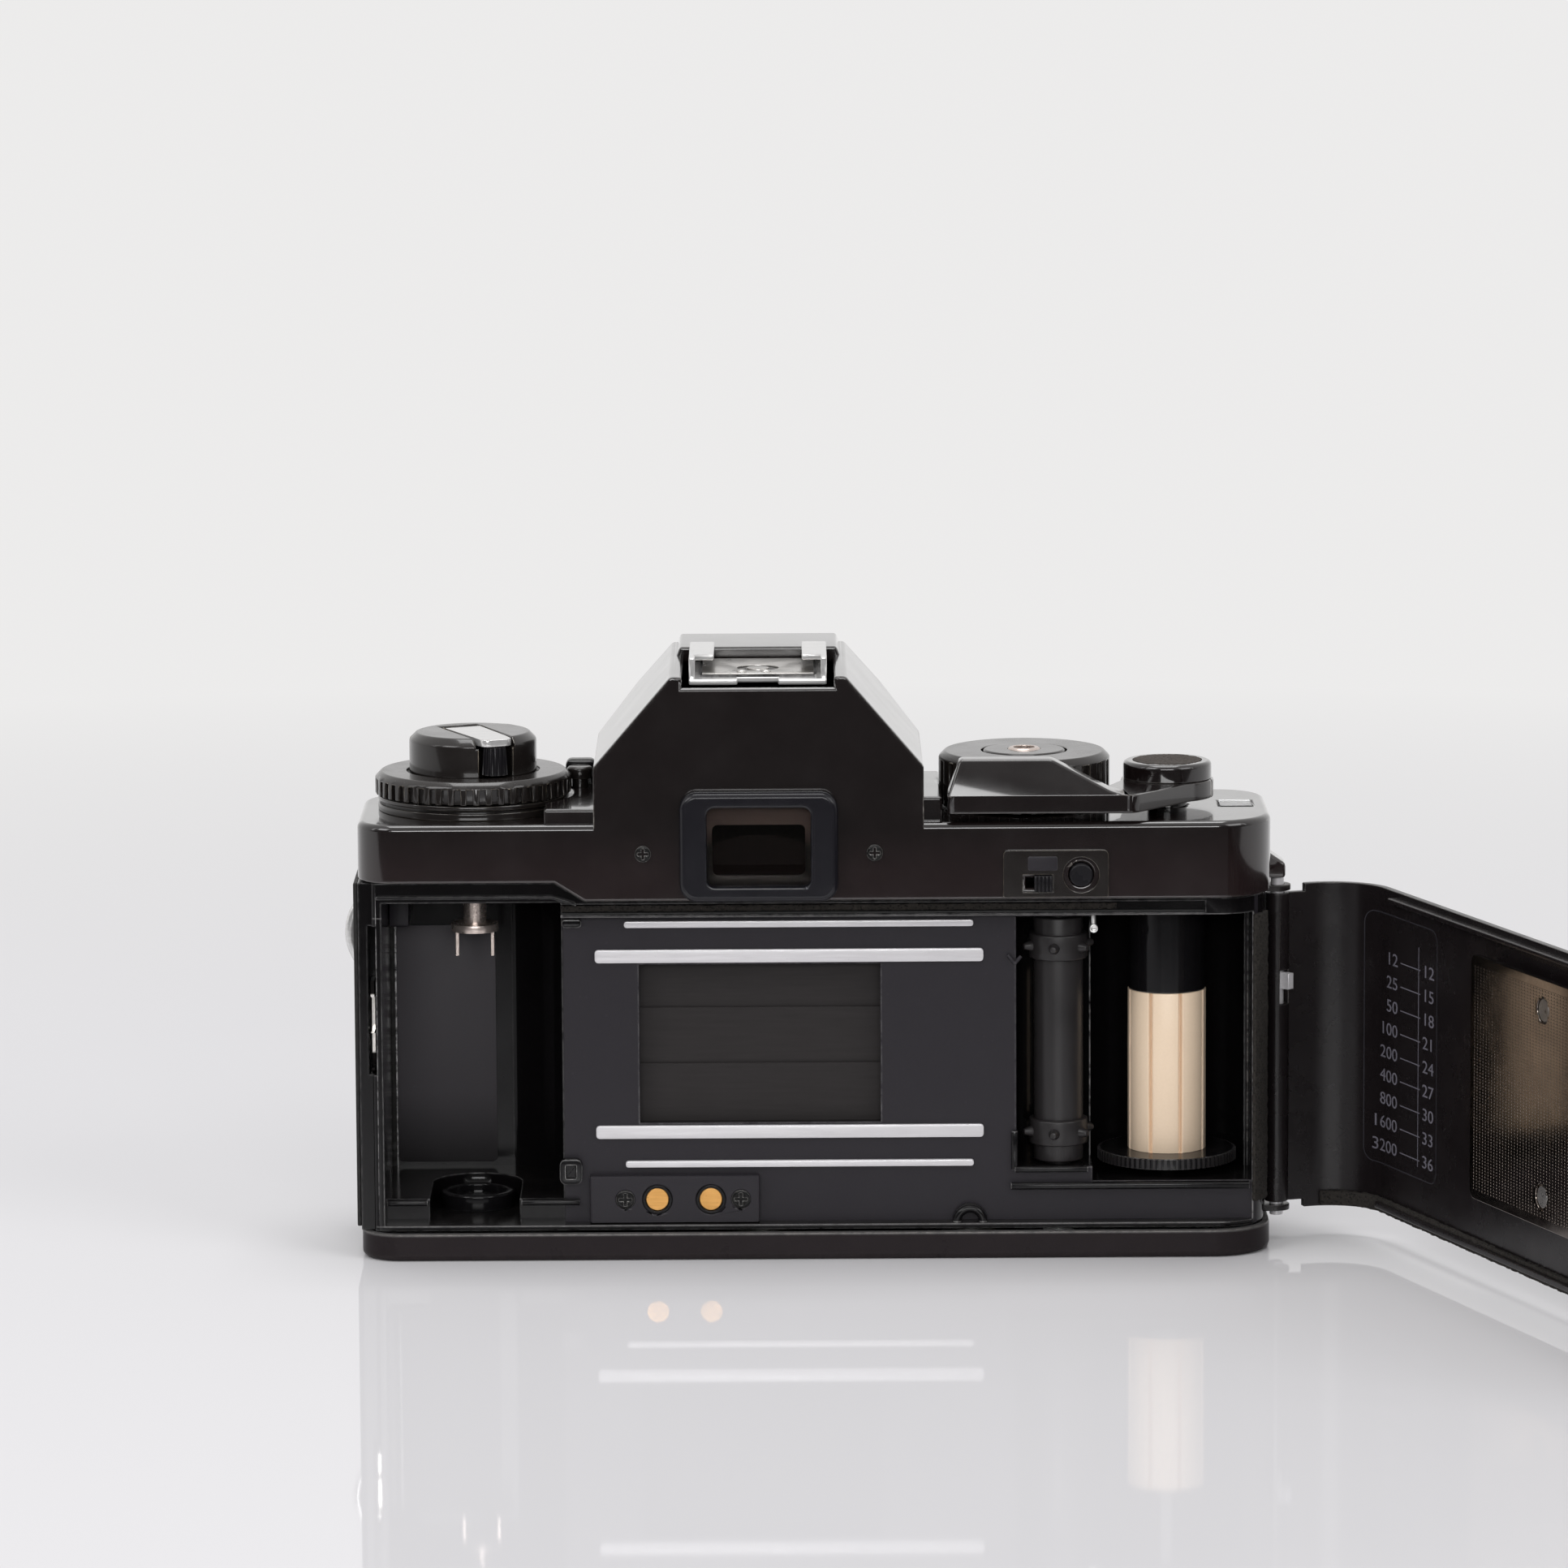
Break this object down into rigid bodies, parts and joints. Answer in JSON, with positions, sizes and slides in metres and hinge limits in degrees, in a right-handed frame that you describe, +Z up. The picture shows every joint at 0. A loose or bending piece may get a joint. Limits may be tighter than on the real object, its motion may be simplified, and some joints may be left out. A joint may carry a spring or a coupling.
{
  "type": "film camera",
  "caption": "Single lens reflex film camera body with its hinged back swung open, showing the film gate, rewind fork, sprocket and take-up spool; deck dials, lever and mirror move.",
  "frame": {"origin": "centre of the tripod socket's mouth in the base, under the lens axis", "axes": "+X to the viewer's right, +Y along the lens axis to the subject, +Z up"},
  "size_m": [0.2038, 0.1606, 0.0902],
  "materials": {
    "casting_paint": "matt black enamel on a die casting",
    "cover_paint": "semi-gloss black enamel worn at the edges",
    "leatherette": "black grained leather cloth",
    "black_plastic": "satin black moulding",
    "gloss_plastic": "glossy black moulding",
    "chrome": "polished chrome",
    "steel": "bare steel",
    "rail_metal": "polished film rails",
    "nickel": "warm nickel plate",
    "blade_paint": "dark grey blackened blades",
    "gold": "gold plated contacts",
    "glass": "optical glass",
    "mirror": "front silvered mirror",
    "foam": "black foam",
    "cream_plastic": "ivory moulding"
  },
  "bodies": {
    "body": {"body_casting": "casting_paint", "top_cover": "cover_paint", "bottom_cover": "cover_paint", "front_apron": "black_plastic", "lens_mount_ring": "steel", "screws": "steel", "body_leatherette": "leatherette", "mirror_box": "black_plastic", "focusing_screen": "glass", "pentaprism": "glass", "eyepiece_frame": "black_plastic", "eyepiece_lens": "glass", "hot_shoe": "chrome", "shoe_insulator": "black_plastic", "shoe_contact": "chrome", "film_rails": "rail_metal", "shutter_frame": "blade_paint", "contact_plate": "black_plastic", "contact_pins": "gold", "switch_plate": "black_plastic", "counter_window": "glass", "light_seals": "foam", "dial_base": "cover_paint", "strap_lugs": "steel", "hinge_ears": "steel", "tripod_bush": "steel", "battery_cells": "steel"},
    "door": {"film_door": "cover_paint", "door_leatherette": "leatherette", "plate_spring": "steel"},
    "plate": {"pressure_plate": "cover_paint"},
    "pin": {"hinge_pin": "steel"},
    "collar": {"rewind_collar": "steel"},
    "knob": {"rewind_knob": "cover_paint", "rewind_fork": "nickel"},
    "crank": {"crank_arm": "chrome"},
    "grip": {"crank_grip": "gloss_plastic"},
    "speed_dial": {"film_speed_dial": "cover_paint"},
    "lock_button": {"dial_lock": "black_plastic"},
    "latch": {"door_latch": "steel"},
    "exposure_dial": {"shutter_dial": "gloss_plastic"},
    "release": {"release_button": "gloss_plastic", "release_ring": "nickel"},
    "lever": {"wind_lever": "cover_paint", "lever_cap": "cover_paint"},
    "spool": {"take_up_spool": "cream_plastic", "spool_core": "black_plastic"},
    "sprocket": {"sprocket": "black_plastic"},
    "counter": {"counter_disc": "black_plastic"},
    "slider": {"mode_slider": "black_plastic"},
    "lock_press": {"rear_button": "black_plastic"},
    "mirror": {"reflex_mirror": "mirror"},
    "blade_1": {"shutter_blade_1": "blade_paint"},
    "blade_2": {"shutter_blade_2": "blade_paint"},
    "blade_3": {"shutter_blade_3": "blade_paint"},
    "mount_release": {"lens_release": "chrome"},
    "cell_lid": {"battery_cap": "steel"},
    "rewind_press": {"rewind_release": "steel"},
    "ring_left": {"strap_ring_left": "chrome"},
    "ring_right": {"strap_ring_right": "chrome"}
  },
  "joints": [
    {"name": "door_swing", "type": "hinge", "parent": "body", "child": "door", "pos_m": [0.0778, -0.0015, 0.03], "axis": [0, 0, 1], "range_deg": [-111, 9]},
    {"name": "plate_press", "type": "slide", "parent": "door", "child": "plate", "axis": [0.9336, 0.3584, 0], "range_m": [0, 0.0008], "stiffness_N_per_m": 250, "springref_m": -0.0008},
    {"name": "pin_draw", "type": "slide", "parent": "door", "child": "pin", "axis": [0, 0, -1], "range_m": [0, 0.002], "stiffness_N_per_m": 250, "springref_m": -0.0008},
    {"name": "rewind_pull", "type": "slide", "parent": "body", "child": "collar", "axis": [0, 0, 1], "range_m": [0, 0.008]},
    {"name": "rewind_turn", "type": "hinge", "parent": "collar", "child": "knob", "pos_m": [-0.0429, 0.002, 0.07], "axis": [0, 0, 1], "continuous": true},
    {"name": "crank_fold", "type": "hinge", "parent": "knob", "child": "crank", "pos_m": [-0.04453, 0.00565, 0.0769], "axis": [-0.9135, -0.4067, 0], "range_deg": [0, 135]},
    {"name": "grip_spin", "type": "hinge", "parent": "crank", "child": "grip", "pos_m": [-0.0394, -0.00586, 0.074], "axis": [0, 0, 1], "continuous": true},
    {"name": "speed_turn", "type": "hinge", "parent": "body", "child": "speed_dial", "pos_m": [-0.0429, 0.002, 0.07], "axis": [0, 0, 1], "range_deg": [-150, 150]},
    {"name": "lock_push", "type": "slide", "parent": "body", "child": "lock_button", "axis": [0, 0, -1], "range_m": [0, 0.001], "stiffness_N_per_m": 250, "springref_m": -0.0008},
    {"name": "latch_lift", "type": "slide", "parent": "body", "child": "latch", "axis": [0, 0, 1], "range_m": [0, 0.002]},
    {"name": "exposure_turn", "type": "hinge", "parent": "body", "child": "exposure_dial", "pos_m": [0.0399, 0.0025, 0.07], "axis": [0, 0, 1], "range_deg": [-120, 120]},
    {"name": "release_press", "type": "slide", "parent": "body", "child": "release", "axis": [0, 0, -1], "range_m": [0, 0.0015], "stiffness_N_per_m": 250, "springref_m": -0.0008},
    {"name": "lever_stroke", "type": "hinge", "parent": "body", "child": "lever", "pos_m": [0.0613, 0, 0.069], "axis": [0, 0, 1], "range_deg": [0, 135], "stiffness_Nm_per_rad": 0.01, "springref_deg": -28.65},
    {"name": "spool_wind", "type": "hinge", "parent": "body", "child": "spool", "pos_m": [0.0613, 0, 0.03], "axis": [0, 0, 1], "range_deg": [0, 369]},
    {"name": "sprocket_feed", "type": "hinge", "parent": "body", "child": "sprocket", "pos_m": [0.0447, -0.0069, 0.03], "axis": [0, 0, 1], "range_deg": [0, 480]},
    {"name": "counter_step", "type": "hinge", "parent": "body", "child": "counter", "pos_m": [0.0613, 0, 0.063], "axis": [0, 0, 1], "range_deg": [0, 10]},
    {"name": "mode_shift", "type": "slide", "parent": "body", "child": "slider", "axis": [-1, 0, 0], "range_m": [0, 0.0013]},
    {"name": "rear_press", "type": "slide", "parent": "body", "child": "lock_press", "axis": [0, 1, 0], "range_m": [0, 0.0007], "stiffness_N_per_m": 250, "springref_m": -0.0008},
    {"name": "mirror_lift", "type": "hinge", "parent": "body", "child": "mirror", "pos_m": [0, -0.003, 0.0484], "axis": [1, 0, 0], "range_deg": [0, 45]},
    {"name": "blade_3_drop", "type": "slide", "parent": "body", "child": "blade_3", "axis": [0, 0, -1], "range_m": [0, 0.026]},
    {"name": "blade_2_drop", "type": "slide", "parent": "body", "child": "blade_2", "axis": [0, 0, -1], "range_m": [0, 0.0176]},
    {"name": "blade_1_drop", "type": "slide", "parent": "body", "child": "blade_1", "axis": [0, 0, -1], "range_m": [0, 0.0092]},
    {"name": "mount_unlock", "type": "slide", "parent": "body", "child": "mount_release", "axis": [0, -1, 0], "range_m": [0, 0.0015], "stiffness_N_per_m": 250, "springref_m": -0.0008},
    {"name": "cell_lid_turn", "type": "hinge", "parent": "body", "child": "cell_lid", "pos_m": [0.03165, 0.003, 0.0015], "axis": [0, 0, -1], "range_deg": [0, 90]},
    {"name": "rewind_unlock", "type": "slide", "parent": "body", "child": "rewind_press", "axis": [0, 0, 1], "range_m": [0, 0.0015], "stiffness_N_per_m": 250, "springref_m": -0.0008},
    {"name": "ring_left_swing", "type": "hinge", "parent": "body", "child": "ring_left", "pos_m": [-0.0551, 0.0183, 0.0517], "axis": [1, 0, 0], "range_deg": [0, 90]},
    {"name": "ring_right_swing", "type": "hinge", "parent": "body", "child": "ring_right", "pos_m": [0.0687, 0.0183, 0.0517], "axis": [1, 0, 0], "range_deg": [0, 90]}
  ],
  "couplings": [
    {"joint": "latch_lift", "follows": "rewind_pull", "ratio": 0.25},
    {"joint": "spool_wind", "follows": "lever_stroke", "ratio": 2.733},
    {"joint": "sprocket_feed", "follows": "lever_stroke", "ratio": 3.555},
    {"joint": "counter_step", "follows": "lever_stroke", "ratio": 0.074},
    {"joint": "blade_2_drop", "follows": "blade_3_drop", "ratio": 0.6769},
    {"joint": "blade_1_drop", "follows": "blade_3_drop", "ratio": 0.3538}
  ]
}
